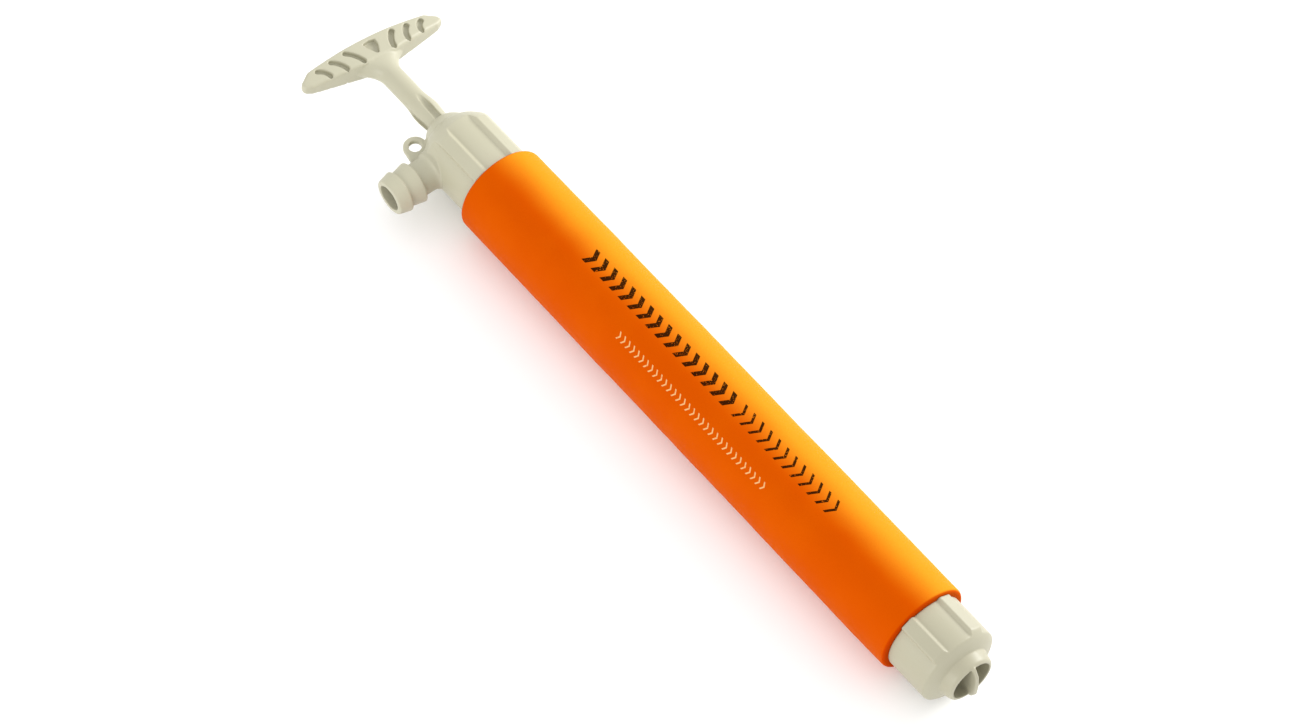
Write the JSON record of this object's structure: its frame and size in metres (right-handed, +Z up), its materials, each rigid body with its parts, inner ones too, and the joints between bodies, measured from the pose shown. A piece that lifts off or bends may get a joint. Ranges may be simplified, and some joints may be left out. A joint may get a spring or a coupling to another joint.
{
  "type": "manual bilge pump",
  "caption": "Hand-drawn piston pump: foam-covered barrel, T handle on a fluted rod, barbed side spout, lanyard eye, ribbed suction foot.",
  "frame": {"origin": "on the pump's axis, halfway along the foam float; the pump lies on its side, the float's lowest line 30 mm below", "axes": "+X along the pump's axis from the T handle to the suction foot, the discharge spout points to -Y, +Z up"},
  "size_m": [0.5702, 0.108, 0.06],
  "materials": {
    "grey_white_plastic": "moulded warm grey-white plastic with a soft sheen",
    "orange_foam": "closed-cell foam with a smooth, slightly leathery skin",
    "white_tube": "extruded tube",
    "white_plastic": "moulded white plastic",
    "black_rubber": "soft rubber",
    "stainless_steel": "plain stainless steel"
  },
  "bodies": {
    "handle": {"handle_and_rod": "grey_white_plastic", "stop_sleeve": "black_rubber", "piston_washer": "stainless_steel", "piston_screw": "stainless_steel"},
    "barrel": {"head_cap": "grey_white_plastic", "guide_ring": "white_plastic", "head_gasket": "black_rubber", "barrel_tube": "white_tube", "float_sleeve": "orange_foam", "foot_gasket": "black_rubber", "foot_cap": "grey_white_plastic", "foot_valve_seat": "white_plastic", "foot_valve_stem": "white_plastic"},
    "foot_valve": {"foot_valve_flap": "black_rubber"},
    "guide": {"rod_wiper": "black_rubber", "rod_guide": "white_plastic"},
    "piston": {"piston_stop_plate": "white_plastic", "piston_body": "white_plastic", "piston_cup": "black_rubber", "piston_clamp_plate": "white_plastic"},
    "piston_valve": {"piston_flap": "black_rubber"}
  },
  "joints": [
    {"name": "pump_stroke", "type": "slide", "parent": "barrel", "child": "piston", "axis": [-1, 0, 0], "range_m": [0, 0.399]},
    {"name": "handle_turn", "type": "hinge", "parent": "piston", "child": "handle", "pos_m": [0, 0, 0], "axis": [1, 0, 0], "continuous": true},
    {"name": "guide_turn", "type": "hinge", "parent": "barrel", "child": "guide", "pos_m": [-0.246, 0, 0], "axis": [1, 0, 0], "continuous": true},
    {"name": "piston_valve_lift", "type": "slide", "parent": "piston", "child": "piston_valve", "axis": [-1, 0, 0], "range_m": [0, 0.003]},
    {"name": "foot_valve_lift", "type": "slide", "parent": "barrel", "child": "foot_valve", "axis": [-1, 0, 0], "range_m": [0, 0.003]}
  ],
  "couplings": [
    {"joint": "guide_turn", "follows": "handle_turn", "ratio": 1}
  ]
}
